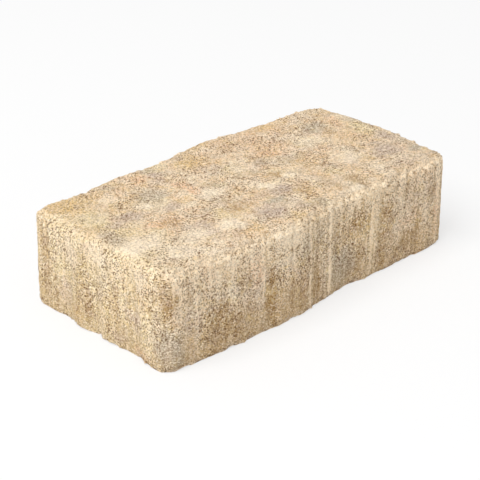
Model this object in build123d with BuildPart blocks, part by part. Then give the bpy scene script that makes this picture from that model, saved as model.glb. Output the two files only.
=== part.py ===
from build123d import *
import os

# A pressed concrete paving stone, cast in one piece. Its upright faces are fluted by the wavy mould,
# its top has a rolled edge and shallow hollows, and its foot is flat.
# Millimetres. X runs along the stone, Y across it and Z up. The origin is under the middle of the foot.

# Overall sizes, over the fullest swells of the sides
LENGTH = 200.0
WIDTH = 104.0
HEIGHT = 51.0

# Rounding of the four upright corners in plan, anticlockwise from the one between front and right
CORNER_RADII = (7.0, 12.0, 5.5, 9.0)

# Swells and flutes of each upright face, in order round the stone: (share of the run between its
# corners, depth under the overall size). The first and last of a side meet its rounded corners.
FRONT_WAVES = (
    (0.00, 3.3),
    (0.22, 1.0),
    (0.27, 1.1),
    (0.34, 0.1),
    (0.42, 0.0),
    (0.51, 2.3),
    (0.63, 4.3),
    (0.70, 2.6),
    (0.745, 2.9),
    (0.785, 2.1),
    (0.84, 2.6),
    (0.945, 1.3),
    (1.00, 2.0),
)
RIGHT_WAVES = (
    (0.00, 3.6),
    (0.52, 0.0),
    (0.66, 0.6),
    (0.78, 0.3),
    (1.00, 2.0),
)
BACK_WAVES = (
    (0.00, 5.6),
    (0.05, 4.9),
    (0.12, 5.4),
    (0.18, 3.9),
    (0.39, 0.0),
    (0.63, 3.4),
    (0.74, 2.6),
    (0.87, 4.4),
    (1.00, 3.4),
)
LEFT_WAVES = (
    (0.00, 2.3),
    (0.08, 2.0),
    (0.23, 3.1),
    (0.37, 0.0),
    (0.49, 2.7),
    (0.60, 1.0),
    (0.79, 3.2),
    (0.95, 0.5),
    (1.00, 0.7),
)
SIDE_WAVES = (FRONT_WAVES, RIGHT_WAVES, BACK_WAVES, LEFT_WAVES)

# The rolled edge of the top and the broken edge of the foot
TOP_EDGE_RADIUS = 5.0
FOOT_EDGE_BREAK = 0.8

# Shallow hollows pressed in the top: (place as a share of the half length and of the half width, radius
# across the top, depth)
TOP_HOLLOWS = (
    (-0.56, 0.23, 24.0, 0.8),
    (-0.26, -0.46, 15.0, 0.5),
    (0.13, -0.12, 14.0, 0.7),
    (0.62, 0.31, 20.0, 0.6),
)


def half_spans(side: int) -> tuple[float, float]:
    """Half the size along a side and half the size across it. Sides 0 and 2 are the long ones."""
    return (LENGTH / 2, WIDTH / 2) if side % 2 == 0 else (WIDTH / 2, LENGTH / 2)


def on_side(side: int, along: float, out: float) -> Vector:
    """The point of the plan at a distance along a side and out from the middle of the stone."""
    return Vector(along, -out).rotate(Axis.Z, 90 * side)


def wave_points(side: int) -> list[Vector]:
    """The tops of the swells and the bottoms of the flutes of a side, between its rounded corners."""
    half_along, half_out = half_spans(side)
    depth_before = SIDE_WAVES[side - 1][-1][1]
    depth_after = SIDE_WAVES[(side + 1) % 4][0][1]
    start = -half_along + depth_before + CORNER_RADII[side - 1]
    end = half_along - depth_after - CORNER_RADII[side]
    waves = SIDE_WAVES[side]
    return [on_side(side, start + share * (end - start), half_out - depth) for share, depth in waves]


with BuildPart() as paving_stone:
    # The wavy outline: from each swell to the next flute run two equal arcs that meet halfway
    with BuildSketch():
        with BuildLine():
            for side in range(4):
                points = wave_points(side)
                for swell, flute in zip(points, points[1:]):
                    first_arc = TangentArc(swell, (swell + flute) / 2, tangent=on_side(side, 1, 0))
                    TangentArc(first_arc @ 1, flute, tangent=first_arc % 1)
                turn_centre = points[-1] + on_side(side, 0, -CORNER_RADII[side])
                CenterArc(turn_centre, CORNER_RADII[side], 90 * (side - 1), 90)
        make_face()
    extrude(amount=HEIGHT)

    # The rolled edge of the top and the broken edge of the foot
    top = paving_stone.faces().sort_by(Axis.Z)[-1]
    fillet(top.edges(), TOP_EDGE_RADIUS)
    foot = paving_stone.faces().sort_by(Axis.Z)[0]
    chamfer(foot.edges(), FOOT_EDGE_BREAK)

    # The shallow hollows of the top, each the cap of a large ball
    for share_x, share_y, radius, depth in TOP_HOLLOWS:
        ball_radius = (radius**2 + depth**2) / (2 * depth)
        with Locations((share_x * LENGTH / 2, share_y * WIDTH / 2, HEIGHT - depth + ball_radius)):
            Sphere(ball_radius, mode=Mode.SUBTRACT)

paving_stone.part.label = "paving_stone"
os.makedirs("parts", exist_ok=True)
export_step(paving_stone.part, "parts/paving_stone.step")
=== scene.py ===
"""The looks of a pressed concrete paving stone: its cast surface, its finish, and a plain studio.

Sizes are in millimetres in the stone's own frame: X along the stone, Y across it and Z up, with the
origin under the middle of its foot. Meshes are made in metres, as the frame is.
"""

import logging
import math
from dataclasses import dataclass
from enum import Enum
from functools import cached_property

import bmesh
import bpy
import numpy as np
from mathutils import Matrix, Vector

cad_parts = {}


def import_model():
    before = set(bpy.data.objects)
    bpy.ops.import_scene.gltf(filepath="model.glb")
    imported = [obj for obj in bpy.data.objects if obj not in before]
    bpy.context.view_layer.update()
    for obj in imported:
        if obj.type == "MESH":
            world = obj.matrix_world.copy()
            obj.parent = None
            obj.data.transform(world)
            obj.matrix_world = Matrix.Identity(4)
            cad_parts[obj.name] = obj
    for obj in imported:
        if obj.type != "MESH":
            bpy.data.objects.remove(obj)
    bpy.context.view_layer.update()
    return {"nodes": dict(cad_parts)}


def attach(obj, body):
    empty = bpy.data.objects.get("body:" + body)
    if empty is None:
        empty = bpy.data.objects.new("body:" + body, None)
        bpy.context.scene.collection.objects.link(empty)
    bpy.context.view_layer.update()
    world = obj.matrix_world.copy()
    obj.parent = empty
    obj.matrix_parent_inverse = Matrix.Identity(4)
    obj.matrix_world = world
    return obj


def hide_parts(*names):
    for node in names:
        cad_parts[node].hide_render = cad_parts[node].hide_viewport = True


MM = 0.001
PHOTO_SIDE_PX = 480
SENSOR_MM = 36.0
WHITE = (1.0, 1.0, 1.0, 1.0)

log = logging.getLogger("paving_stone")

Socket = bpy.types.NodeSocket
Colour = tuple[float, float, float, float]
Range = tuple[float, float]
Inputs = dict[str | int, object]


def srgb(code: str) -> Colour:
    """Turn a colour written as six hex digits into the linear colour that a shader takes.

    Args:
        code: the colour, such as "dec6a4".

    Returns:
        Red, green, blue and alpha, each from 0 to 1.
    """
    parts = [int(code[at:at + 2], 16) / 255 for at in (0, 2, 4)]
    linear = [part / 12.92 if part <= 0.04045 else ((part + 0.055) / 1.055) ** 2.4 for part in parts]
    return (*linear, 1.0)


def ramp_up(value: np.ndarray, low: float | np.ndarray, high: float) -> np.ndarray:
    """Rise smoothly from 0 at one value to 1 at another.

    Args:
        value: the numbers to map.
        low: where the result is 0.
        high: where the result is 1. It may be under low, for a fall.

    Returns:
        Numbers from 0 to 1.
    """
    share = np.clip((value - low) / (high - low), 0.0, 1.0)
    return share * share * (3.0 - 2.0 * share)


class Side(Enum):
    """A face of the stone, with its outward direction and the axes that run along and across it."""

    FRONT = ((0, -1, 0), 0, 2)
    RIGHT = ((1, 0, 0), 1, 2)
    BACK = ((0, 1, 0), 0, 2)
    LEFT = ((-1, 0, 0), 1, 2)
    TOP = ((0, 0, 1), 0, 1)
    FOOT = ((0, 0, -1), 0, 1)

    @property
    def outward(self) -> np.ndarray:
        """The direction that the face looks in."""
        return np.array(self.value[0], float)

    @property
    def axes(self) -> tuple[int, int]:
        """The numbers of the axes along and across the face."""
        return self.value[1], self.value[2]


class Tone(Enum):
    """A tone of the concrete, named as its mask on the mesh, in the order that the tones are laid on."""

    STRAW = "straw"
    OCHRE = "ochre"
    GREY = "grey"
    MAUVE = "mauve"
    PEACH = "peach"
    UMBER = "umber"
    CREAM = "cream"


class Mask(Enum):
    """What else the mesh tells its finish at each vertex, from 0 to 1."""

    CAVITY = "cavity"
    OPEN = "open"
    UPRIGHT = "upright"
    PALE_RIB = "pale_rib"
    CARRIED = "carried"
    LOW_SHADE = "low_shade"


@dataclass(frozen=True)
class Layer:
    """One random layer of relief: the pitch of its swells, their height, its slide and its finer fields."""

    pitch: float
    height: float = 1.0
    slide: float = 0.0
    octaves: int = 1


@dataclass(frozen=True)
class Blots:
    """How the blots of one tone are strewn over the stone by chance."""

    tone: Tone
    strength: float
    layer: Layer
    spread: Range
    sides_only: bool = False


@dataclass(frozen=True)
class Patch:
    """A soft patch of one tone, placed on a face."""

    side: Side
    along: float
    across: float
    half_along: float
    half_across: float
    tone: Tone
    strength: float


@dataclass(frozen=True)
class Rib:
    """An upright line that the mould dragged on a side: a ridge if its height is over 0, or a groove. On a
    ridge its paleness paints pale paste and a highlight; in a groove, under 0, it paints shade.
    """

    side: Side
    along: float
    half_width: float
    height: float
    low: float
    high: float
    # pale paste with a painted highlight on a ridge; under 0, painted shade in a groove
    pale: float


@dataclass(frozen=True)
class Knock:
    """A bite knocked out of the stone."""

    place: tuple[float, float, float]
    radius: float
    depth: float


STREWN_BLOTS = (
    Blots(Tone.CREAM, 0.55, Layer(13.0, slide=70.0, octaves=3), (0.10, 0.65)),
    Blots(Tone.STRAW, 0.50, Layer(26.0, slide=130.0, octaves=3), (0.10, 0.60)),
    Blots(Tone.OCHRE, 0.50, Layer(21.0, slide=80.0, octaves=3), (0.10, 0.60)),
    Blots(Tone.GREY, 0.50, Layer(17.0, slide=90.0, octaves=3), (0.15, 0.65)),
    Blots(Tone.MAUVE, 0.45, Layer(14.0, slide=120.0, octaves=3), (0.15, 0.65)),
    Blots(Tone.PEACH, 0.40, Layer(12.0, slide=100.0, octaves=3), (0.20, 0.70)),
    Blots(Tone.UMBER, 0.55, Layer(15.0, slide=110.0, octaves=3), (-0.10, 0.60), sides_only=True),
)

# soft patches, listed per face: along, across, half sizes, tone and strength
PATCH_ROWS = {
    Side.TOP: (
        (-92, 0, 22, 60, Tone.STRAW, 0.6),
        (-84, 38, 15, 12.5, Tone.OCHRE, 0.99),
        (-95, 8, 7.5, 15, Tone.OCHRE, 0.44),
        (-66, 22, 7.5, 5, Tone.OCHRE, 0.55),
        (-48, 19, 11, 10, Tone.GREY, 0.66),
        (-57, 12, 5, 4, Tone.CREAM, 0.88),
        (-70, 9, 9, 6, Tone.MAUVE, 0.77),
        (-79, 5, 7.5, 5, Tone.MAUVE, 0.55),
        (-47, 3, 6, 4, Tone.MAUVE, 0.66),
        (-40, 36, 7.5, 5, Tone.PEACH, 0.88),
        (-32, 34, 5, 5, Tone.MAUVE, 0.88),
        (-11, 34, 6, 7.5, Tone.OCHRE, 0.99),
        (-4, 38, 5, 5, Tone.OCHRE, 0.66),
        (10, 47, 10, 5, Tone.OCHRE, 0.66),
        (16, 33, 5, 5, Tone.UMBER, 0.55),
        (-29, 12, 5, 10, Tone.PEACH, 0.88),
        (-24, 0, 9, 5.5, Tone.CREAM, 1),
        (-40, -2, 5, 4, Tone.CREAM, 0.66),
        (-40, 4, 6, 4, Tone.OCHRE, 0.66),
        (-61, -9, 10, 6, Tone.PEACH, 1),
        (-60, -10, 7, 5, Tone.UMBER, 0.5),
        (-90, -4, 5, 9, Tone.GREY, 0.44),
        (-85, -18, 14, 10, Tone.CREAM, 0.88),
        (-62, -27, 7.5, 6, Tone.CREAM, 0.77),
        (-75, -36, 15, 9, Tone.CREAM, 0.77),
        (-42, -31, 9, 7, Tone.CREAM, 1),
        (-50, -22, 6, 5, Tone.MAUVE, 0.66),
        (-27, -19, 9, 5, Tone.UMBER, 0.6),
        (-18, -34, 9, 9, Tone.MAUVE, 1),
        (-8, -28, 9, 6, Tone.GREY, 0.88),
        (3, -20, 7.5, 5, Tone.MAUVE, 0.99),
        (-12, -46, 7.5, 5, Tone.OCHRE, 0.66),
        (0, -12, 6, 5, Tone.CREAM, 0.99),
        (8, -12, 5, 4, Tone.CREAM, 0.55),
        (17, -11, 5, 4, Tone.CREAM, 0.88),
        (13, -6, 5, 4, Tone.UMBER, 0.77),
        (10, -29, 6, 7.5, Tone.UMBER, 0.44),
        (25, -31, 5, 10, Tone.UMBER, 0.44),
        (37, -39, 5, 11, Tone.UMBER, 0.66),
        (30, -46, 7.5, 5, Tone.CREAM, 1),
        (30, 3, 12.5, 6, Tone.GREY, 0.44),
        (34, 17, 15, 10, Tone.PEACH, 0.55),
        (58, 12, 11, 9, Tone.CREAM, 0.55),
        (71, 23, 10, 7.5, Tone.GREY, 0.77),
        (74, 14, 5, 6, Tone.UMBER, 0.55),
        (52, 39, 9, 5, Tone.OCHRE, 0.66),
        (85, 18, 6, 9, Tone.PEACH, 0.77),
        (56, -14, 12.5, 9, Tone.CREAM, 0.55),
        (59, -36, 7.5, 6, Tone.CREAM, 0.77),
        (76, -24, 10, 10, Tone.MAUVE, 0.77),
        (90, -12, 5, 9, Tone.MAUVE, 0.88),
        (88, -33, 5, 5, Tone.GREY, 0.88),
        (90, 5, 8, 14, Tone.STRAW, 0.7),
        (30, 34, 34, 12, Tone.PEACH, 0.3),
        (75, -42, 18, 9, Tone.MAUVE, 0.4),
    ),
    Side.FRONT: (
        (0, 24, 140, 70, Tone.OCHRE, 0.3),
        (-96, 38, 5, 12, Tone.UMBER, 0.9),
        (-95, 10, 8, 12, Tone.GREY, 1.0),
        (-83, 44, 4, 8, Tone.CREAM, 0.6),
        (-85, 23, 4, 8, Tone.MAUVE, 0.6),
        (-74, 44, 5, 7, Tone.PEACH, 0.5),
        (-68, 16, 7, 14, Tone.UMBER, 0.8),
        (-59, 31, 5, 7, Tone.CREAM, 0.7),
        (-52, 34, 5, 7, Tone.UMBER, 0.9),
        (-52, 12, 8, 9, Tone.UMBER, 0.5),
        (-44, 38, 6, 13, Tone.PEACH, 0.9),
        (-42, 19, 5, 8, Tone.MAUVE, 0.4),
        (-35, 20, 4, 20, Tone.UMBER, 1.0),
        (-24, 45, 9, 7, Tone.CREAM, 1.0),
        (-24, 33, 7, 6, Tone.CREAM, 0.7),
        (-18, 13, 8, 13, Tone.UMBER, 0.8),
        (-13, 37, 6, 8, Tone.GREY, 0.9),
        (-2, 38, 4, 7, Tone.GREY, 0.6),
        (-3, 14, 4, 13, Tone.UMBER, 0.7),
        (10, 36, 2.5, 10, Tone.UMBER, 0.6),
        (18, 13, 12, 12, Tone.GREY, 1.0),
        (24, 36, 7, 13, Tone.OCHRE, 0.9),
        (27, 37, 6, 11, Tone.UMBER, 0.8),
        (30, 14, 4, 9, Tone.UMBER, 0.8),
        (37, 36, 4, 16, Tone.OCHRE, 0.6),
        (48, 22, 6, 24, Tone.UMBER, 0.55),
        (56, 28, 3, 20, Tone.CREAM, 0.6),
        (66, 38, 6, 9, Tone.UMBER, 0.6),
        (65, 23, 8, 3, Tone.PEACH, 0.5),
        (66, 12, 8, 7, Tone.UMBER, 0.9),
        (77, 30, 3, 16, Tone.CREAM, 0.4),
        (83, 34, 4, 7, Tone.UMBER, 0.6),
        (88, 20, 3, 20, Tone.PEACH, 0.7),
        (75, 38, 18, 20, Tone.MAUVE, 0.4),
        (76, 47, 16, 6, Tone.PEACH, 0.6),
        (-48, 26, 10, 9, Tone.MAUVE, 0.45),
    ),
    Side.LEFT: (
        (0, 26, 70, 60, Tone.STRAW, 0.7),
        (38, 24, 4, 22, Tone.UMBER, 0.7),
        (25, 14, 7, 8, Tone.MAUVE, 0.5),
        (20, 38, 9, 9, Tone.CREAM, 0.6),
        (8, 17, 4, 12, Tone.UMBER, 0.5),
        (14, 8, 6, 6, Tone.OCHRE, 0.8),
        (0, 44, 10, 6, Tone.CREAM, 0.7),
        (-12, 26, 3.5, 18, Tone.UMBER, 0.4),
        (-33, 39, 7, 12, Tone.OCHRE, 0.7),
        (-32, 42, 5, 8, Tone.CREAM, 0.7),
        (-25, 20, 6, 8, Tone.MAUVE, 0.8),
        (-30, 4, 8, 4, Tone.PEACH, 0.7),
        (-15, 6, 5, 4, Tone.MAUVE, 0.6),
        (-47, 38, 5, 12, Tone.UMBER, 0.9),
        (-47, 12, 7, 12, Tone.GREY, 1.0),
    ),
}
HAND_PATCHES = tuple(Patch(side, *row) for side, rows in PATCH_ROWS.items() for row in rows)

# lines that the mould dragged, per face: along, half width, height, from where to where up, paleness (pale
# paste with a painted highlight on a ridge; under 0, painted shade in a groove)
RIB_ROWS = {
    Side.FRONT: (
        (7.2, 1.1, 0.35, 0, 46, 2.0),
        (-8.0, 1.0, 0.25, 0, 44, 1.6),
        (-40.0, 0.8, 0.25, 20, 50, 1.3),
        (-45.0, 0.9, 0.20, 24, 48, 1.2),
        (-60.0, 1.0, 0.20, 20, 44, 1.0),
        (-25.0, 0.9, 0.20, 26, 48, 1.0),
        (38.0, 1.6, 0.25, 22, 46, 1.3),
        (41.0, 0.9, 0.20, 8, 46, 0.8),
        (38.0, 1.2, 0.20, 0, 24, 0.7),
        (59.0, 1.6, 0.20, 10, 46, 1.0),
        (65.0, 0.8, 0.15, 10, 30, 0.5),
        (88.5, 1.4, 0.20, 0, 44, 1.2),
        (-80.0, 1.0, 0.20, 22, 48, 0.9),
        (-89.5, 1.0, 0.15, 22, 48, 1.0),
        (12.5, 1.2, -0.35, 4, 44, -0.6),
        (-15.0, 1.0, -0.20, 4, 30, -0.4),
        (-35.5, 1.2, -0.30, 0, 34, -0.6),
        (47.0, 2.0, -0.25, 6, 44, -0.4),
        (73.0, 1.2, -0.25, 6, 40, -0.4),
    ),
    Side.LEFT: (
        (7.0, 1.2, -0.30, 2, 44, -0.5),
        (40.0, 1.3, -0.30, 2, 44, -0.6),
        (-12.0, 1.2, 0.20, 6, 44, 0.4),
        (28.0, 1.2, 0.20, 6, 44, 0.4),
    ),
}
HAND_RIBS = tuple(Rib(side, *row) for side, rows in RIB_ROWS.items() for row in rows)

HAND_KNOCKS = (
    Knock((-67, 47, 50.5), 4.0, 0.8),
    Knock((-68, -11, 51), 2.6, 0.8),
    Knock((15, -8, 51), 2.2, 0.9),
    Knock((-47, 23, 51), 2.4, 0.6),
    Knock((38, -45, 50), 4.5, 0.8),
    Knock((56, 46, 50), 3.4, 0.8),
    Knock((36, 48, 50), 2.8, 0.6),
    Knock((97, -33, 50), 3.0, 0.8),
    Knock((-94, -47, 0), 6.0, 0.25),
    Knock((-88, -50, 1), 5.5, 0.6),
    Knock((-98, -39, 0), 4.0, 0.3),
    Knock((-97, -29, 0), 3.5, 0.8),
    Knock((-98, 0, 0), 3.5, 1.0),
    Knock((-99, 14, 0), 3.0, 0.7),
    Knock((-83, -51, 0), 3.0, 1.0),
    Knock((-74, -51, 0), 2.6, 0.9),
    Knock((-60, -51, 0), 4.0, 0.6),
    Knock((-20, -52, 0), 4.0, 0.5),
    Knock((94, -45, 0), 5.0, 1.0),
    Knock((70, -51, 0), 3.5, 0.5),
    Knock((-99, 14, 0), 7.0, 0.8),
    Knock((-99, -9, 0), 6.0, 0.7),
    Knock((-99, -33, 0), 6.0, 0.8),
)


class Lattice:
    """Smooth and cellular random fields over space, the same on each run."""

    TABLE = 4096
    SMOOTH_GAIN = 1.7
    LAYER_GAIN = 1.3
    OCTAVE_SLIDE = 17.3
    FAR = 9.0

    def __init__(self, seed: int) -> None:
        """Draw the tables that the fields are read from.

        Args:
            seed: the number that the tables are drawn from.
        """
        draw = np.random.default_rng(seed)
        self.order = draw.permutation(self.TABLE)
        slopes = draw.normal(size=(self.TABLE, 3))
        self.slopes = slopes / np.linalg.norm(slopes, axis=1, keepdims=True)
        self.jitter = draw.random((self.TABLE, 3))
        self.draws = draw.random((self.TABLE, 3))

    def _number(self, cell: np.ndarray) -> np.ndarray:
        """Find the table row of each lattice cell.

        Args:
            cell: whole numbers, three in a row.

        Returns:
            The number of the table row of each.
        """
        last = self.TABLE - 1
        first = self.order[cell[:, 0] & last]
        second = self.order[(first + cell[:, 1]) & last]
        return self.order[(second + cell[:, 2]) & last]

    def smooth(self, places: np.ndarray) -> np.ndarray:
        """Read the smooth field, whose swells are about one unit across.

        Args:
            places: points, one in a row.

        Returns:
            About -1 to 1 for each point.
        """
        cell = np.floor(places).astype(np.int64)
        inside = places - cell
        fade = inside**3 * (inside * (inside * 6.0 - 15.0) + 10.0)
        total = np.zeros(len(places))
        for corner in np.ndindex(2, 2, 2):
            step = np.array(corner)
            weight = np.prod(np.where(step == 1, fade, 1.0 - fade), axis=1)
            slope = self.slopes[self._number(cell + step)]
            total += weight * ((inside - step) * slope).sum(axis=1)
        return total * self.SMOOTH_GAIN

    def read(self, places: np.ndarray, *layers: Layer) -> np.ndarray:
        """Add up layers of relief. A layer's finer fields are each half as wide and as high as the last.

        Args:
            places: points in millimetres, one in a row.
            layers: what is added up.

        Returns:
            The height at each point.
        """
        height = np.zeros(len(places))
        for layer in layers:
            scaled = places / layer.pitch + layer.slide
            if layer.octaves == 1:
                height += layer.height * self.smooth(scaled)
                continue
            fields = sum(
                0.5**octave * self.smooth(scaled * 2.0**octave + self.OCTAVE_SLIDE * octave)
                for octave in range(layer.octaves)
            )
            height += layer.height * self.LAYER_GAIN * fields / (2.0 - 0.5 ** (layer.octaves - 1))
        return height

    def cells(self, places: np.ndarray) -> tuple[np.ndarray, np.ndarray]:
        """Find the nearest of one random point in each lattice cell.

        Args:
            places: points, one in a row.

        Returns:
            The distance to the nearest random point, and three random numbers that belong to it.
        """
        cell = np.floor(places).astype(np.int64)
        nearest = np.full(len(places), self.FAR)
        found = np.zeros(len(places), np.int64)
        for offset in np.ndindex(3, 3, 3):
            near_cell = cell + np.array(offset) - 1
            number = self._number(near_cell)
            away = np.linalg.norm(near_cell + self.jitter[number] - places, axis=1)
            closer = away < nearest
            nearest[closer] = away[closer]
            found[closer] = number[closer]
        return nearest, self.draws[found]


@dataclass(frozen=True)
class Skin:
    """The vertices of a mesh in millimetres, the way that each looks, and which part of the stone it is."""

    places: np.ndarray
    normals: np.ndarray

    # how far up the vertices of each part of the stone look, and how high over the foot they are
    UPRIGHT_TURN = (0.35, 0.9)
    ROLLED_START = (0.10, 0.45)
    ROLLED_END = (0.99, 0.80)
    FACE_TURN = (0.35, 0.75)
    FOOT_TURN = -0.9
    FOOT_TOP = 0.2
    FOOT_EDGE = (4.0, 0.5)

    @classmethod
    def of(cls, mesh: bpy.types.Mesh) -> "Skin":
        """Read a mesh, which is in metres.

        Args:
            mesh: the mesh.

        Returns:
            Its skin.
        """
        rows = []
        for name in ("co", "normal"):
            flat = np.empty(len(mesh.vertices) * 3, np.float32)
            mesh.vertices.foreach_get(name, flat)
            rows.append(flat.reshape(-1, 3).astype(float))
        return cls(rows[0] / MM, rows[1])

    @cached_property
    def height(self) -> np.ndarray:
        """How high each vertex stands over the foot."""
        return self.places[:, 2]

    @cached_property
    def facing_up(self) -> np.ndarray:
        """How far each vertex looks up, from -1 to 1."""
        return self.normals[:, 2]

    @cached_property
    def upright(self) -> np.ndarray:
        """How far each vertex belongs to the sides, from 0 to 1."""
        return 1.0 - ramp_up(np.abs(self.facing_up), *self.UPRIGHT_TURN)

    @cached_property
    def rolled(self) -> np.ndarray:
        """How far each vertex belongs to the rolled edge of the top, from 0 to 1."""
        return ramp_up(self.facing_up, *self.ROLLED_START) * ramp_up(self.facing_up, *self.ROLLED_END)

    @cached_property
    def near_foot(self) -> np.ndarray:
        """How far each vertex belongs to the broken edge of the foot, from 0 to 1."""
        return ramp_up(self.height, *self.FOOT_EDGE) * (self.facing_up > self.FOOT_TURN)

    @cached_property
    def foot(self) -> np.ndarray:
        """Whether each vertex belongs to the flat foot."""
        return (self.facing_up < self.FOOT_TURN) & (self.height < self.FOOT_TOP)

    def belongs(self, side: Side) -> np.ndarray:
        """How far each vertex belongs to a face, from 0 to 1."""
        return ramp_up(self.normals @ side.outward, *self.FACE_TURN)

    def drawn(self, upright_scale: float) -> np.ndarray:
        """The vertices pressed together along Z, for fields that run long up the sides."""
        return self.places * np.array([1.0, 1.0, upright_scale])


@dataclass(frozen=True)
class Relief:
    """What the cast surface does at each vertex."""

    height: np.ndarray  # over the mould's form, in millimetres
    dent: np.ndarray  # the height of the fine relief alone
    rough: np.ndarray  # from 0 where it is pasty to 1 where it is open
    # pale paste with a painted highlight along the ribs; under 0, painted shade in the grooves
    rib_paste_highlight_and_shade: np.ndarray  # how pale the ribs make it, or under 0 how dark the grooves do


@dataclass
class CastStone:
    """The stone itself: the form that the mould gives it, the relief of the concrete, and the masks."""

    node_name: str = "paving_stone"
    piece_name: str = "paving_stone_cast"
    slot_name: str = "concrete"
    mesh_pitch: float = 0.75
    weld: float = 0.001
    map_gap: float = 4.0
    foot_flatness: float = 0.05
    foot_turn: float = -0.99
    seed: int = 8

    # the smooth relief, and how far all of it is set back so that it stays in the overall size
    swell: Layer = Layer(30.0, 0.34, 5.0, 2)
    lump: Layer = Layer(8.0, 0.26, 9.0, 3)
    set_back: float = 0.27
    hold_in: float = 0.11
    least_slant: float = 0.2

    # how open the surface is, and the grit, which is rougher there and along the edges
    openness: Layer = Layer(16.0, octaves=3)
    openness_spread: Range = (-0.45, 0.45)
    grit: tuple[Layer, ...] = (Layer(2.5, 0.55), Layer(1.45, 0.65, 3.0))
    grit_height: float = 0.23
    grit_pasty: float = 0.55
    grit_open: float = 0.75
    grit_rolled: float = 2.6
    grit_foot: float = 3.0

    # raised grains, and pits, which are more common where the surface is open
    grain_pitch: float = 2.2
    grain_height: float = 0.16
    grain_reach: float = 0.62
    grain_spread: Range = (0.35, 0.90)
    pit_pitch: float = 3.1
    pit_depth: float = 0.70
    pit_least_reach: float = 0.15
    pit_more_reach: float = 0.19
    pit_least_depth: float = 0.45
    pit_chance_pasty: float = 0.14
    pit_chance_open: float = 0.30

    # upright lines dragged by the mould
    drag: tuple[Layer, ...] = (Layer(1.7, 0.6, 31.0), Layer(4.5, 0.8, 11.0))
    drag_height: float = 0.22
    drag_scale: float = 0.05
    rib_bend: float = 0.7
    rib_bend_pitch: tuple[float, float, float] = (60.0, 60.0, 14.0)
    rib_end: float = 5.0
    rib_flicker: Layer = Layer(5.0, 0.35)

    # wear along the edges, the bent rims of the knocks, and the full corner at the back on the left
    edge_wear: float = 0.85
    edge_wear_least: float = 0.30
    wear: Layer = Layer(4.2, 1.3, 40.0, 3)
    front_wear: float = 0.6
    front_spread: Range = (0.2, 0.7)
    knock_bend: Layer = Layer(3.0, 0.35, 60.0)
    knock_rim: Range = (1.0, 0.45)
    corner_x: Range = (-85.0, -98.0)
    corner_y: Range = (36.0, 48.0)
    corner_z: Range = (14.0, 44.0)
    corner_fill: float = 0.55
    corner_wear: float = 0.9

    # how much of each kind of relief is seen in the cavities, and the dent that makes a whole cavity
    dent_drag: float = 0.4
    dent_lump: float = 0.5
    dent_range: float = 0.7

    # pale paste with a painted highlight on the rolled edge and along the top of the sides, and pale paste
    # hanging from it in streaks down the sides
    streak: tuple[Layer, ...] = (Layer(3.2, 0.7, 21.0), Layer(8.0, 0.6, 23.0))
    streak_scale: float = 0.03
    streak_length: float = 17.0
    streak_sway: float = 14.0
    streak_least: float = 5.0
    streak_fade: float = 4.0
    paste_below: float = 5.0
    rim_paste_and_highlight_field: Layer = Layer(6.0, 1.0, 25.0)
    rim_paste_and_highlight_least: float = 0.35
    rim_paste_and_highlight_more: float = 0.45
    rim_paste_and_highlight_spread: Range = (-0.5, 0.5)
    hanging_turn: Range = (0.98, 0.85)
    band_turn: Range = (0.95, 0.75)
    band_depth: float = 14.0
    band_strength: float = 0.9
    left_bare: float = 0.55

    # painted shade: the sides darker towards the foot
    low_shade: Layer = Layer(6.0, 9.0, 50.0)
    low_shade_span: Range = (27.0, 3.0)

    # the tones: strewn blots run long up the sides, and a listed patch pushes the other tones back
    blots: tuple[Blots, ...] = STREWN_BLOTS
    blot_pull: float = 0.7
    patch_warp: Layer = Layer(7.0, octaves=2)
    patch_warp_step: float = 10.0
    patch_warp_most: float = 3.0
    patch_warp_share: float = 0.5
    patch_rim: Range = (1.25, 0.35)
    patch_push: float = 0.7

    patches: tuple[Patch, ...] = HAND_PATCHES
    ribs: tuple[Rib, ...] = HAND_RIBS
    knocks: tuple[Knock, ...] = HAND_KNOCKS

    @cached_property
    def broad(self) -> Lattice:
        """The fields of the larger relief and mottling."""
        return Lattice(self.seed)

    @cached_property
    def fine(self) -> Lattice:
        """The fields of the grit and the grains."""
        return Lattice(self.seed + 1)

    @cached_property
    def other(self) -> Lattice:
        """The fields of the pits, the drag lines and the bent rims."""
        return Lattice(self.seed + 2)

    @cached_property
    def bend(self) -> Lattice:
        """The fields that bend the ribs."""
        return Lattice(self.seed + 3)

    def build(self, node: bpy.types.Object) -> bpy.types.Object:
        """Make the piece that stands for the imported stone.

        Args:
            node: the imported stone.

        Returns:
            The new piece, in place.
        """
        mesh = self._fine_mesh(node)
        skin = Skin.of(mesh)
        relief = self._relief(skin)
        self._lay_out(mesh, skin)
        self._move(mesh, skin, relief, Skin.of(node.data).places)
        for name, mask in (self._tones(skin) | self._masks(skin, relief)).items():
            layer = mesh.attributes.new(name, "FLOAT", "POINT")
            layer.data.foreach_set("value", mask.astype(np.float32))
        self._merge_foot(mesh)
        mesh.update()
        piece = bpy.data.objects.new(self.piece_name, mesh)
        bpy.context.scene.collection.objects.link(piece)
        return piece

    def _fine_mesh(self, node: bpy.types.Object) -> bpy.types.Mesh:
        """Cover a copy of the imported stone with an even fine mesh.

        Args:
            node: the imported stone.

        Returns:
            The fine mesh, with one vertex about every mesh_pitch.
        """
        source = node.data.copy()
        shape = bmesh.new()
        shape.from_mesh(source)
        bmesh.ops.remove_doubles(shape, verts=shape.verts, dist=self.weld * MM)
        shape.to_mesh(source)
        shape.free()
        blank = bpy.data.objects.new("blank", source)
        bpy.context.scene.collection.objects.link(blank)
        remesh = blank.modifiers.new("even", "REMESH")
        remesh.mode = "VOXEL"
        remesh.voxel_size = self.mesh_pitch * MM
        remesh.use_smooth_shade = True
        evaluated = blank.evaluated_get(bpy.context.evaluated_depsgraph_get())
        mesh = bpy.data.meshes.new_from_object(evaluated)
        mesh.name = self.piece_name
        bpy.data.objects.remove(blank)
        mesh.materials.clear()
        return mesh

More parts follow.
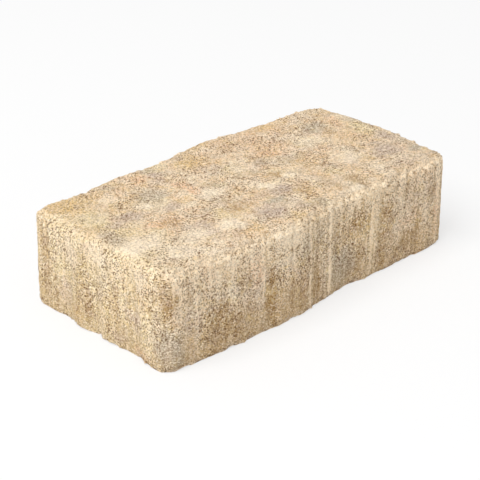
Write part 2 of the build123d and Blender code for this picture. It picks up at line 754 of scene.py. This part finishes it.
    def _lay_out(self, mesh: bpy.types.Mesh, skin: Skin) -> None:
        """Lay the six faces of the stone out side by side on one flat map, at one scale.

        Args:
            mesh: the fine mesh.
            skin: its vertices.
        """
        low = skin.places.min(axis=0)
        length, width, height = skin.places.max(axis=0) - low + self.map_gap
        corner = np.empty(len(mesh.loops), np.int32)
        mesh.loops.foreach_get("vertex_index", corner)
        count = np.empty(len(mesh.polygons), np.int32)
        mesh.polygons.foreach_get("loop_total", count)
        facing = np.empty(len(mesh.polygons) * 3, np.float32)
        mesh.polygons.foreach_get("normal", facing)
        outward = np.array([side.outward for side in Side])
        side_of_corner = np.repeat((facing.reshape(-1, 3) @ outward.T).argmax(axis=1), count)
        lowest = {
            Side.TOP: (0.0, 0.0),
            Side.FOOT: (0.0, width),
            Side.FRONT: (0.0, 2 * width),
            Side.BACK: (0.0, 2 * width + height),
            Side.LEFT: (length, 0.0),
            Side.RIGHT: (length, width),
        }
        spots = np.zeros((len(corner), 2))
        for number, side in enumerate(Side):
            here = side_of_corner == number
            axes = list(side.axes)
            flat = skin.places[corner[here]][:, axes] - low[axes]
            if side in (Side.LEFT, Side.RIGHT):
                flat = flat[:, ::-1]
            spots[here] = flat + np.array(lowest[side]) + self.map_gap / 2
        layer = mesh.uv_layers.new(name="OFBake")
        spots /= spots.max() + self.map_gap / 2
        layer.data.foreach_set("uv", spots.astype(np.float32).ravel())

    def _move(self, mesh: bpy.types.Mesh, skin: Skin, relief: Relief, form: np.ndarray) -> None:
        """Move the vertices by the relief, but not out of the overall size, nor off the flat foot.

        Args:
            mesh: the fine mesh.
            skin: its vertices.
            relief: how far each goes out.
            form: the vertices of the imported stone, whose overall size is kept.
        """
        low, high = form.min(axis=0), form.max(axis=0)
        free = np.where(skin.normals > 0, high - skin.places, skin.places - low)
        free /= np.maximum(np.abs(skin.normals), self.least_slant)
        room = np.maximum(free.min(axis=1), 0.0)
        height = room - self.hold_in * np.logaddexp(0.0, (room - relief.height) / self.hold_in)
        height[skin.foot] = -self._bites(skin)[skin.foot]
        moved = np.clip(skin.places + skin.normals * height[:, None], low, high)
        mesh.vertices.foreach_set("co", (moved * MM).astype(np.float32).ravel())

    def _relief(self, skin: Skin) -> Relief:
        """Work out the cast surface over the mould's form.

        Args:
            skin: the vertices.

        Returns:
            The relief of each.
        """
        places = skin.places
        rough = ramp_up(self.broad.read(places, self.openness), *self.openness_spread)
        swell = self.broad.read(places, self.swell)
        lump = self.broad.read(places, self.lump)
        grit = self.fine.read(places, *self.grit)
        grit *= self.grit_height * (self.grit_pasty + self.grit_open * rough)
        ragged = 1.0 + self.grit_rolled * skin.rolled + self.grit_foot * skin.near_foot
        grain = self._grains(skin)
        pit = self._pits(skin, rough)
        drag = self.drag_height * skin.upright * self.other.read(skin.drawn(self.drag_scale), *self.drag)
        ribs, rib_paste_highlight_and_shade = self._dragged(skin)
        built_up = swell + lump + grit * ragged + grain + drag + ribs + self._full_corner(skin)
        taken_off = pit + self._worn(skin) + self._bites(skin) + self.set_back
        dent = grit + grain - pit + self.dent_drag * drag + self.dent_lump * lump
        return Relief(built_up - taken_off, dent, rough, rib_paste_highlight_and_shade)

    def _grains(self, skin: Skin) -> np.ndarray:
        """Scatter the larger grains that stand out of the surface.

        Args:
            skin: the vertices.

        Returns:
            Their height at each vertex.
        """
        away, kind = self.fine.cells(skin.places / self.grain_pitch)
        dome = np.clip(1.0 - (away / self.grain_reach) ** 2, 0.0, 1.0)
        return self.grain_height * dome * ramp_up(kind[:, 0], *self.grain_spread)

    def _pits(self, skin: Skin, rough: np.ndarray) -> np.ndarray:
        """Scatter pits, which are more common where the surface is rough.

        Args:
            skin: the vertices.
            rough: how open the surface is at each.

        Returns:
            Their depth at each vertex.
        """
        away, kind = self.other.cells(skin.places / self.pit_pitch)
        reach = self.pit_least_reach + self.pit_more_reach * kind[:, 1]
        chance = self.pit_chance_pasty + self.pit_chance_open * rough
        bowl = np.clip(1.0 - (away / reach) ** 2, 0.0, 1.0) * (kind[:, 0] > 1.0 - chance)
        depth = self.pit_least_depth + (1.0 - self.pit_least_depth) * kind[:, 2]
        return self.pit_depth * bowl * depth

    def _worn(self, skin: Skin) -> np.ndarray:
        """Wear the rolled edge and the edge of the foot back, the most along the front.

        Args:
            skin: the vertices.

        Returns:
            How far each is worn back.
        """
        edge = np.maximum(skin.rolled, skin.near_foot)
        worn = self.edge_wear * edge * (self.edge_wear_least + self.broad.read(skin.places, self.wear))
        front = skin.normals @ Side.FRONT.outward
        return worn + self.front_wear * skin.rolled * ramp_up(front, *self.front_spread)

    def _full_corner(self, skin: Skin) -> np.ndarray:
        """How far the back corner on the left is full at the foot, and worn back near the top."""
        there = ramp_up(skin.places[:, 0], *self.corner_x) * ramp_up(skin.places[:, 1], *self.corner_y)
        return there * (self.corner_fill - self.corner_wear * ramp_up(skin.height, *self.corner_z))

    def _dragged(self, skin: Skin) -> tuple[np.ndarray, np.ndarray]:
        """Work out the listed upright ribs and grooves.

        Args:
            skin: the vertices.

        Returns:
            The height of the ribs at each vertex, and how pale they make it: pale paste with a painted
            highlight on the ridges, and painted shade in the grooves under 0.
        """
        sway = self.rib_bend * self.bend.smooth(skin.places / np.array(self.rib_bend_pitch))
        flicker = 1.0 - self.rib_flicker.height + self.bend.read(skin.places, self.rib_flicker)
        height, pale = np.zeros(len(sway)), np.zeros(len(sway))
        for rib in self.ribs:
            along = skin.places[:, rib.side.axes[0]] + sway
            shape = flicker * skin.belongs(rib.side)
            shape *= np.exp(-(((along - rib.along) / rib.half_width) ** 2))
            shape *= ramp_up(skin.height, rib.low - self.rib_end, rib.low + self.rib_end)
            shape *= ramp_up(skin.height, rib.high + self.rib_end, rib.high - self.rib_end)
            height += rib.height * shape
            # pale paste with a painted highlight on the ridges; under 0, painted shade in the grooves
            pale += rib.pale * shape
        return height, np.clip(pale, -1.0, 1.0)

    def _bites(self, skin: Skin) -> np.ndarray:
        """Bite the listed knocks out.

        Args:
            skin: the vertices.

        Returns:
            Their depth at each vertex.
        """
        depth = np.zeros(len(skin.places))
        bent = 1.0 + self.other.read(skin.places, self.knock_bend)
        for knock in self.knocks:
            away = np.linalg.norm(skin.places - np.array(knock.place), axis=1) / knock.radius
            depth = np.maximum(depth, knock.depth * ramp_up(away * bent, *self.knock_rim))
        return depth

    def _masks(self, skin: Skin, relief: Relief) -> dict[str, np.ndarray]:
        """Work out what the finish is told besides the tones.

        Args:
            skin: the vertices.
            relief: the relief of each.

        Returns:
            The masks by name, each from 0 to 1, but for the ribs, where a groove is under 0.
        """
        shade_line = skin.height + self.broad.read(skin.drawn(self.drag_scale), self.low_shade)
        masks = {
            # cavities, which the finish paints with shade, and raised relief, which it paints with a
            # highlight
            Mask.CAVITY: np.clip(0.5 - relief.dent / self.dent_range, 0.0, 1.0),
            Mask.OPEN: relief.rough,
            Mask.UPRIGHT: skin.upright,
            Mask.PALE_RIB: relief.rib_paste_highlight_and_shade,
            Mask.CARRIED: self._carried(skin),
            Mask.LOW_SHADE: skin.upright * ramp_up(shade_line, *self.low_shade_span),
        }
        return {mask.value: value for mask, value in masks.items()}

    def _carried(self, skin: Skin) -> np.ndarray:
        """Work out where pale paste and a painted highlight lie on the rolled edge and along the top of the
        sides, and where pale paste hangs from it in streaks down the sides.

        Args:
            skin: the vertices.

        Returns:
            The mask, from 0 to 1.
        """
        top = skin.height.max()
        sway = self.other.read(skin.drawn(self.streak_scale), *self.streak)
        length = np.maximum(self.streak_length + self.streak_sway * sway, self.streak_least)
        hanging = ramp_up(skin.height, top - length - self.streak_fade, top - self.paste_below)
        hanging *= ramp_up(skin.facing_up, *self.hanging_turn)
        # painted highlight: a band along the top of the sides, just under the rolled edge
        band = ramp_up(skin.height, top - self.band_depth, top - self.paste_below)
        band *= self.band_strength * ramp_up(skin.facing_up, *self.band_turn)
        # pale paste with a painted highlight on the rolled edge itself
        rim_paste_and_highlight = ramp_up(self.other.read(skin.places, self.rim_paste_and_highlight_field), *self.rim_paste_and_highlight_spread)
        rim_paste_and_highlight = (self.rim_paste_and_highlight_least + self.rim_paste_and_highlight_more * rim_paste_and_highlight) * skin.rolled
        paste = np.maximum.reduce([rim_paste_and_highlight, hanging, band])
        return paste * (1.0 - self.left_bare * skin.belongs(Side.LEFT))

    def _tones(self, skin: Skin) -> dict[str, np.ndarray]:
        """Work out where each tone of the concrete shows.

        Args:
            skin: the vertices.

        Returns:
            The masks by the names of the tones, each from 0 to 1.
        """
        pulled = skin.places.copy()
        pulled[:, 2] *= 1.0 - self.blot_pull * skin.upright
        masks = {}
        for blots in self.blots:
            mask = blots.strength * ramp_up(self.broad.read(pulled, blots.layer), *blots.spread)
            masks[blots.tone] = mask * skin.upright if blots.sides_only else mask
        pitch, octaves = self.patch_warp.pitch, self.patch_warp.octaves
        slides = [self.patch_warp_step * axis for axis in range(3)]
        warp = [self.other.read(skin.places, Layer(pitch, 1.0, slide, octaves)) for slide in slides]
        for patch in self.patches:
            along, across = patch.side.axes
            reach = min(self.patch_warp_most, self.patch_warp_share * patch.half_across)
            away = np.hypot(
                (skin.places[:, along] + warp[along] * reach - patch.along) / patch.half_along,
                (skin.places[:, across] + warp[across] * reach - patch.across) / patch.half_across,
            )
            shape = patch.strength * ramp_up(away, *self.patch_rim) * skin.belongs(patch.side)
            shape = np.clip(shape, 0.0, 1.0)
            for tone in Tone:
                masks[tone] *= 1.0 - (1.0 if tone is patch.tone else self.patch_push) * shape
            masks[patch.tone] += shape
        return {tone.value: np.clip(mask, 0.0, 1.0) for tone, mask in masks.items()}

    def _merge_foot(self, mesh: bpy.types.Mesh) -> None:
        """Join the small flat faces inside the foot, which need no fine mesh, into one.

        Args:
            mesh: the moved mesh.
        """
        shape = bmesh.new()
        shape.from_mesh(mesh)
        level = self.foot_flatness * MM
        flat = [
            face
            for face in shape.faces
            if face.normal.z < self.foot_turn and all(vertex.co.z < level for vertex in face.verts)
        ]
        bmesh.ops.dissolve_faces(shape, faces=flat, use_verts=True)
        bmesh.ops.triangulate(shape, faces=[face for face in shape.faces if len(face.verts) > 4])
        shape.to_mesh(mesh)
        shape.free()


@dataclass(frozen=True)
class Span:
    """A range of numbers, and the range that it is mapped to."""

    low: float
    high: float
    to_low: float = 0.0
    to_high: float = 1.0


@dataclass(frozen=True)
class Noise:
    """A smooth random field of a finish: the pitch of its swells, how many finer fields and how strong."""

    pitch: float
    detail: float
    rough: float = 0.5


class NodeBench:
    """A short way to add and join the nodes of one material."""

    def __init__(self, tree: bpy.types.NodeTree) -> None:
        """Start with an empty tree.

        Args:
            tree: the node tree of the material or world.
        """
        self.tree = tree
        tree.nodes.clear()

    def put(self, target: Socket, value: object) -> None:
        """Join a socket to an input, or set the input to a plain value.

        Args:
            target: the input.
            value: a socket or a plain value.
        """
        if isinstance(value, Socket):
            self.tree.links.new(value, target)
        else:
            target.default_value = value

    def node(self, kind: str, inputs: Inputs | None = None, **settings: object) -> bpy.types.Node:
        """Add a node.

        Args:
            kind: the type of the node, without its ShaderNode prefix.
            inputs: sockets or plain values for its inputs, by name or number.
            settings: properties of the node by name.

        Returns:
            The new node.
        """
        made = self.tree.nodes.new(f"ShaderNode{kind}")
        for name, value in settings.items():
            setattr(made, name, value)
        for place, value in (inputs or {}).items():
            self.put(made.inputs[place], value)
        return made

    def sum(self, operation: str, first: object, second: object = 0.0, clamp: bool = False) -> Socket:
        """Work out one number from two, each a socket or a plain number, and clamp it to 0 to 1 if asked."""
        return self.node("Math", {0: first, 1: second}, operation=operation, use_clamp=clamp).outputs[0]

    def times(self, first: object, second: object, clamp: bool = False) -> Socket:
        """Multiply two numbers."""
        return self.sum("MULTIPLY", first, second, clamp)

    def span(self, value: object, span: Span) -> Socket:
        """Map one range of numbers to another, smoothly and with both ends held."""
        inputs = {0: value, 1: span.low, 2: span.high, 3: span.to_low, 4: span.to_high}
        return self.node("MapRange", inputs, interpolation_type="SMOOTHSTEP").outputs[0]

    def blend(self, share: object, first: object, second: object) -> Socket:
        """Mix two colours, with so much of the second, each a socket or plain."""
        return self.node("Mix", {0: share, 6: first, 7: second}, data_type="RGBA").outputs[2]

    @cached_property
    def places(self) -> Socket:
        """Where the shader is read, in the stone's own frame."""
        return self.node("TexCoord").outputs["Object"]

    def mask(self, mask: Mask | Tone) -> Socket:
        """Read a mask from the mesh."""
        return self.node("Attribute", attribute_name=mask.value).outputs["Fac"]

    def noise(self, places: Socket, noise: Noise) -> bpy.types.Node:
        """Add a smooth random field.

        Args:
            places: where the field is read.
            noise: what the field is like.

        Returns:
            The node, whose Fac output is the field, from 0 to 1.
        """
        scale = 1.0 / (noise.pitch * MM)
        inputs = {"Vector": places, "Scale": scale, "Detail": noise.detail, "Roughness": noise.rough}
        return self.node("TexNoise", inputs, noise_dimensions="3D")


@dataclass(frozen=True)
class ConcreteFinish:
    """The finish of cast concrete: mottled cement paste, sand grains of several kinds and pores, with
    painted shade in the pores and cavities and painted highlights on the edges and raised relief.
    """

    name: str = "cast_concrete"

    # the colours
    buff: str = "f6e0c2"
    deep_buff: str = "e7c497"
    cream: str = "fae8cc"
    straw: str = "ead8a8"
    ochre: str = "e4c289"
    grey: str = "b8ad98"
    mauve: str = "c6b09f"
    peach: str = "efc49c"
    # umber tone, also the colour of the darker streaks and of the painted shade in the grooves
    umber: str = "b08c58"
    # painted shade at the foot of the sides
    foot_shade: str = "a98d63"
    # pale paste, also the colour of the painted highlight on the rolled edge and along the ribs
    paste: str = "fee6c4"
    # painted shade in the pores and the cavities
    pore: str = "6a4214"
    # pale sand grains, also the colour of the painted highlight on the raised relief
    pale_sand: str = "fff1d8"
    dark_sand: str = "866848"
    yellow_stain: str = "f0d28c"
    lilac_stain: str = "cdb4aa"

    # the mottling of the paste, the broken edges of the tones, and the small stains, weaker on the top
    mottle: Noise = Noise(11.0, 5.0, 0.62)
    mottle_mix: Span = Span(0.32, 0.68)
    breakup: Noise = Noise(3.0, 4.0, 0.6)
    breakup_share: Span = Span(0.25, 0.70, 0.75, 1.2)
    stain: Noise = Noise(4.5, 3.0, 0.6)
    stained_sides: Span = Span(0.0, 1.0, 0.65, 1.0)
    yellow_share: Span = Span(0.52, 0.74, 0.0, 0.55)
    lilac_share: Span = Span(0.48, 0.26, 0.0, 0.45)

    # the streaks that run down the sides, the paste and painted highlight that they carry, the painted
    # highlight and shade of the ribs, and the painted shade at the foot of the sides
    drag: Noise = Noise(2.2, 3.0, 0.6)
    drag_scale: float = 0.07
    streak: Span = Span(0.32, 0.70, -1.0, 1.0)
    paste_and_edge_highlight_share: Span = Span(0.30, 0.65, 0.35, 0.95)
    foot_shade_share: float = 0.42
    streak_lift: float = 0.26
    # how strongly the ribs paint pale paste with a highlight, and the grooves paint shade
    rib_paste_highlight_and_shade_share: float = 0.75
    paste_and_edge_highlight_smooth: float = 0.7
    paste_cover: float = 0.8
    # darker streaks and painted shade in the grooves, in umber
    fall_share: float = -1.3

    # sand grains: how far each is bent, how many are pale or dark, and how much less pale where the umber
    # tone and the painted shade at the foot dull the sides
    sand_pitch: float = 0.52
    sand_bend: float = 0.9
    pale_share: Span = Span(0.45, 0.95, 0.0, 0.62)
    pale_sides: Span = Span(0.0, 1.0, 1.0, 1.35)
    dark_share: Span = Span(0.62, 0.85, 0.0, 0.42)
    dull_sides: float = 0.3

    # pores, painted dark as the shade inside them: how many there are and how large, with more on the sides
    # and fewer in cream and in the painted shade at the foot
    pore_pitch: float = 0.54
    pore_reach: Span = Span(0.52, 0.84, -0.05, 0.70)
    pore_edge: Span = Span(0.0, -0.12)
    pores_open: Span = Span(0.05, 0.75, 0.55, 1.0)
    pores_sides: float = 0.25
    pores_cream: Span = Span(0.3, 1.0, 1.0, 0.4)
    pores_low: Span = Span(0.0, 1.0, 1.0, 0.7)
    # painted shade darkens the cavities, and a painted highlight pales the raised relief
    cavity_dark: Span = Span(0.55, 1.0, 0.0, 0.38)
    cavity_pale: Span = Span(0.45, 0.05, 0.0, 0.20)

    # the bump and the gloss
    grit: Noise = Noise(0.55, 2.0, 0.6)
    sand_bump: float = 0.55
    grit_bump: float = 0.45
    pore_bump: float = 0.8
    bump_strength: float = 0.8
    bump_height: float = 0.28
    roughness: Span = Span(0.3, 0.7, 0.84, 0.96)
    specular: float = 0.25

    def make(self) -> bpy.types.Material:
        """Build the material.

        Returns:
            The material, whose masks are read from the mesh that wears it.
        """
        material = bpy.data.materials.new(self.name)
        material.use_nodes = True
        bench = NodeBench(material.node_tree)
        mottle = bench.noise(bench.places, self.mottle).outputs["Fac"]
        colour, bare = self._streaks(bench, self._paste(bench, mottle))
        colour, height = self._sand_and_pores(bench, colour, bare)
        bump = bench.node(
            "Bump", {"Strength": self.bump_strength, "Distance": self.bump_height * MM, "Height": height}
        )
        shader = bench.node("BsdfPrincipled", {
            "Base Color": colour,
            "Roughness": bench.span(mottle, self.roughness),
            "Specular IOR Level": self.specular,
            "Normal": bump.outputs[0],
        })
        bench.node("OutputMaterial", {"Surface": shader.outputs[0]})
        return material

    def _paste(self, bench: NodeBench, mottle: Socket) -> Socket:
        """Mix the mottled cement paste, the tones that the masks lay on it, and the small stains.

        Args:
            bench: the bench of the material.
            mottle: the field that mottles the paste.

        Returns:
            The colour.
        """
        colour = bench.blend(bench.span(mottle, self.mottle_mix), srgb(self.deep_buff), srgb(self.buff))
        breakup = bench.span(bench.noise(bench.places, self.breakup).outputs["Fac"], self.breakup_share)
        for tone in Tone:
            share = bench.times(bench.mask(tone), breakup, True)
            colour = bench.blend(share, colour, srgb(getattr(self, tone.value)))
        stain = bench.noise(bench.places, self.stain).outputs["Fac"]
        stained = bench.span(bench.mask(Mask.UPRIGHT), self.stained_sides)
        for share, code in ((self.yellow_share, self.yellow_stain), (self.lilac_share, self.lilac_stain)):
            colour = bench.blend(bench.times(stained, bench.span(stain, share)), colour, srgb(code))
        return colour

    def _streaks(self, bench: NodeBench, colour: Socket) -> tuple[Socket, Socket]:
        """Lay on the pale paste and painted highlight that hang from the rolled edge, the upright streaks
        with the painted highlight and shade of the ribs and grooves, and the painted shade at the foot of
        the sides.

        Args:
            bench: the bench of the material.
            colour: the colour under them.

        Returns:
            The colour, and how bare of smooth paste the surface is.
        """
        drawn = bench.node("Mapping", {"Vector": bench.places, "Scale": (1.0, 1.0, self.drag_scale)})
        drag = bench.noise(drawn.outputs[0], self.drag).outputs["Fac"]
        # pale paste and a painted highlight on the rolled edge and the top of the sides
        carried = bench.times(bench.mask(Mask.CARRIED), bench.span(drag, self.paste_and_edge_highlight_share))
        colour = bench.blend(carried, colour, srgb(self.paste))
        # painted shade: the sides darker towards the foot
        foot_shade = bench.times(bench.mask(Mask.LOW_SHADE), self.foot_shade_share)
        colour = bench.blend(foot_shade, colour, srgb(self.foot_shade))
        streak = bench.times(bench.span(drag, self.streak), bench.mask(Mask.UPRIGHT))
        streak = bench.times(streak, self.streak_lift)
        # paler and darker streaks, with pale paste and a painted highlight on the ribs and painted shade in
        # the grooves
        lift = bench.sum("ADD", streak, bench.times(bench.mask(Mask.PALE_RIB), self.rib_paste_highlight_and_shade_share))
        pale_streak_and_rib_highlight = bench.sum("MAXIMUM", lift, 0.0, True)
        colour = bench.blend(pale_streak_and_rib_highlight, colour, srgb(self.paste))
        # darker streaks and painted shade in the grooves, in umber
        fall = bench.times(bench.sum("MINIMUM", lift, 0.0), self.fall_share, True)
        colour = bench.blend(fall, colour, srgb(self.umber))
        smooth = bench.sum("MAXIMUM", pale_streak_and_rib_highlight, bench.times(carried, self.paste_and_edge_highlight_smooth))
        return colour, bench.sum("SUBTRACT", 1.0, bench.times(smooth, self.paste_cover))

    def _sand_and_pores(self, bench: NodeBench, colour: Socket, bare: Socket) -> tuple[Socket, Socket]:
        """Scatter sand grains, each of its own tone, and pores painted dark as the shade inside them, fewer
        where the paste is smooth; paint shade into the cavities and a highlight onto the raised relief.

        Args:
            bench: the bench of the material.
            colour: the colour under them.
            bare: how bare of smooth paste the surface is.

        Returns:
            The colour, and the height of the bump.
        """
        upright, low = bench.mask(Mask.UPRIGHT), bench.mask(Mask.LOW_SHADE)
        bent = self._bent(bench)
        sand, kinds = self._grains(bench, bent, self.sand_pitch)
        dull = bench.sum("ADD", bench.mask(Tone.UMBER), low)
        dull = bench.sum("SUBTRACT", 1.0, bench.times(dull, bench.times(upright, self.dull_sides)))
        pale = bench.times(bench.span(kinds[0], self.pale_share), bench.span(upright, self.pale_sides))
        colour = bench.blend(bench.times(pale, dull, True), colour, srgb(self.pale_sand))
        dark = bench.times(bench.span(kinds[1], self.dark_share), bare)
        colour = bench.blend(dark, colour, srgb(self.dark_sand))

        # pores: dark spots painted as the shade inside them, with a dip of the bump
        pore, kinds = self._grains(bench, bent, self.pore_pitch)
        reach = bench.span(kinds[0], self.pore_reach)
        hole = bench.times(bench.span(bench.sum("SUBTRACT", pore, reach), self.pore_edge), bare)
        many = bench.span(bench.mask(Mask.OPEN), self.pores_open)
        many = bench.sum("ADD", many, bench.times(upright, self.pores_sides))
        many = bench.times(many, bench.span(bench.mask(Tone.CREAM), self.pores_cream))
        hole = bench.times(hole, bench.times(many, bench.span(low, self.pores_low)))
        colour = bench.blend(hole, colour, srgb(self.pore))
        # painted shade in the cavities and a painted highlight on the raised relief
        cavity = bench.mask(Mask.CAVITY)
        colour = bench.blend(bench.span(cavity, self.cavity_dark), colour, srgb(self.pore))
        colour = bench.blend(bench.span(cavity, self.cavity_pale), colour, srgb(self.pale_sand))

        grit = bench.noise(bench.places, self.grit).outputs["Fac"]
        dome = bench.times(bench.sum("SUBTRACT", 1.0, sand), self.sand_bump)
        height = bench.sum("ADD", dome, bench.times(grit, self.grit_bump))
        return colour, bench.sum("SUBTRACT", height, bench.times(hole, self.pore_bump))

    def _bent(self, bench: NodeBench) -> Socket:
        """Bend space a little, so that no grain is a plain cell.

        Args:
            bench: the bench of the material.

        Returns:
            The bent places.
        """
        bend = bench.noise(bench.places, Noise(self.sand_pitch, 1.0)).outputs["Color"]
        reach = self.sand_bend * self.sand_pitch * MM
        shift = bench.node("VectorMath", {0: bend, "Scale": reach}, operation="SCALE")
        return bench.node("VectorMath", {0: bench.places, 1: shift.outputs[0]}, operation="ADD").outputs[0]

    def _grains(self, bench: NodeBench, places: Socket, pitch: float) -> tuple[Socket, list[Socket]]:
        """Add one layer of grains.

        Args:
            bench: the bench of the material.
            places: where the layer is read.
            pitch: the size of a grain, in millimetres.

        Returns:
            The distance to the middle of the grain, and three random numbers that belong to it.
        """
        layer = bench.node("TexVoronoi", {"Vector": places, "Scale": 1.0 / (pitch * MM)}, feature="F1")
        kinds = bench.node("SeparateColor", {0: layer.outputs["Color"]})
        return layer.outputs["Distance"], list(kinds.outputs)


@dataclass(frozen=True)
class FloorFinish:
    """A plain pale floor, which glows towards the camera so that it shows nearly white."""

    name: str = "pale_floor"
    colour: str = "f4f4f4"
    glow: float = 0.62

    def make(self) -> bpy.types.Material:
        """Build the material.

        Returns:
            The material, which still takes the shadow of the stone.
        """
        material = bpy.data.materials.new(self.name)
        material.use_nodes = True
        bench = NodeBench(material.node_tree)
        matt = bench.node("BsdfDiffuse", {"Color": srgb(self.colour)})
        glow = bench.node("Emission", {"Strength": 1.0})
        share = bench.times(seen_by_camera(bench), self.glow)
        both = bench.node("MixShader", {0: share, 1: matt.outputs[0], 2: glow.outputs[0]})
        bench.node("OutputMaterial", {"Surface": both.outputs[0]})
        return material


def seen_by_camera(bench: NodeBench) -> Socket:
    """Add nodes that say whether a ray is the camera's own, straight, off a gloss or through glass.

    Args:
        bench: the bench of the material or world.

    Returns:
        1 for such a ray, and 0 for any other.
    """
    path = bench.node("LightPath")
    seen = bench.sum("MAXIMUM", path.outputs["Is Camera Ray"], path.outputs["Is Glossy Ray"])
    return bench.sum("MAXIMUM", seen, path.outputs["Is Transmission Ray"])


@dataclass
class Studio:
    """A plain pale floor, soft light and the camera that took the photograph."""

    # the floor and the lamp, in metres, but for the drop of the floor, in millimetres
    floor_half: float = 6.0
    floor_drop: float = 0.05
    sky_strength: float = 0.57
    key_watts: float = 42.4
    key_away: float = 2.4
    key_size: float = 1.65
    key_from: tuple[float, float, float] = (-0.57, -0.05, 0.82)

    # the camera, fitted to the outline of the stone: degrees and millimetres, and its clip range in metres
    focal_px: float = 1435.7
    azimuth: float = -44.39
    elevation: float = 27.0
    distance: float = 733.5
    slide_right: float = -4.18
    slide_up: float = 14.57
    clip_near: float = 0.01
    clip_far: float = 50.0

    def build(self) -> None:
        """Set the floor, the light, the sky and the camera up."""
        self._floor()
        self._sky()
        self._key()
        self._camera()
        bpy.context.scene.view_settings.view_transform = "Standard"

    def _floor(self) -> None:
        """Lay a wide pale floor that keeps the shadow of the stone."""
        mesh = bpy.data.meshes.new("floor")
        reach = self.floor_half
        corners = [(-reach, -reach, 0), (reach, -reach, 0), (reach, reach, 0), (-reach, reach, 0)]
        mesh.from_pydata(corners, [], [(0, 1, 2, 3)])
        mesh.materials.append(FloorFinish().make())
        floor = bpy.data.objects.new("floor", mesh)
        floor.location.z = -self.floor_drop * MM
        bpy.context.scene.collection.objects.link(floor)

    def _sky(self) -> None:
        """Light the stone evenly from all round, and show the camera plain white."""
        world = bpy.data.worlds.new("studio_sky")
        world.use_nodes = True
        bpy.context.scene.world = world
        bench = NodeBench(world.node_tree)
        light = bench.node("Background", {"Color": WHITE, "Strength": self.sky_strength})
        white = bench.node("Background", {"Color": WHITE, "Strength": 1.0})
        seen = seen_by_camera(bench)
        both = bench.node("MixShader", {0: seen, 1: light.outputs[0], 2: white.outputs[0]})
        bench.node("OutputWorld", {"Surface": both.outputs[0]})

    def _key(self) -> None:
        """Hang one large soft lamp over the left end of the stone."""
        lamp = bpy.data.lights.new("key", "AREA")
        lamp.energy = self.key_watts
        lamp.size = self.key_size
        key = bpy.data.objects.new("key", lamp)
        way = Vector(self.key_from).normalized()
        key.location = way * self.key_away
        key.rotation_mode = "QUATERNION"
        key.rotation_quaternion = (-way).to_track_quat("-Z", "Y")
        bpy.context.scene.collection.objects.link(key)

    def _camera(self) -> None:
        """Stand the camera where the photograph was taken from."""
        turn, tilt = math.radians(self.azimuth), math.radians(self.elevation)
        back = Vector((math.sin(turn) * math.cos(tilt), -math.cos(turn) * math.cos(tilt), math.sin(tilt)))
        right = Vector((math.cos(turn), math.sin(turn), 0.0))
        up = back.cross(right)
        place = right * self.slide_right + up * self.slide_up + back * self.distance
        data = bpy.data.cameras.new("camera")
        data.sensor_width = SENSOR_MM
        data.lens = SENSOR_MM * self.focal_px / PHOTO_SIDE_PX
        data.clip_start, data.clip_end = self.clip_near, self.clip_far
        camera = bpy.data.objects.new("camera", data)
        axes = Matrix((right, up, back)).transposed()
        camera.matrix_world = Matrix.Translation(place * MM) @ axes.to_4x4()
        bpy.context.scene.collection.objects.link(camera)
        bpy.context.scene.camera = camera


def main() -> None:
    """Build the stone and the studio round it."""
    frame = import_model()
    Studio().build()

    stone = CastStone()
    piece = stone.build(frame["nodes"][stone.node_name])
    piece.data.materials.append(ConcreteFinish().make())
    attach(piece, "root")
    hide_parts(stone.node_name)
    triangles = sum(len(face.vertices) - 2 for face in piece.data.polygons)
    log.info("%s: %d vertices, %d triangles", piece.name, len(piece.data.vertices), triangles)


if __name__ == "__main__":
    logging.basicConfig(level=logging.INFO, format="%(name)s: %(message)s")
    main()
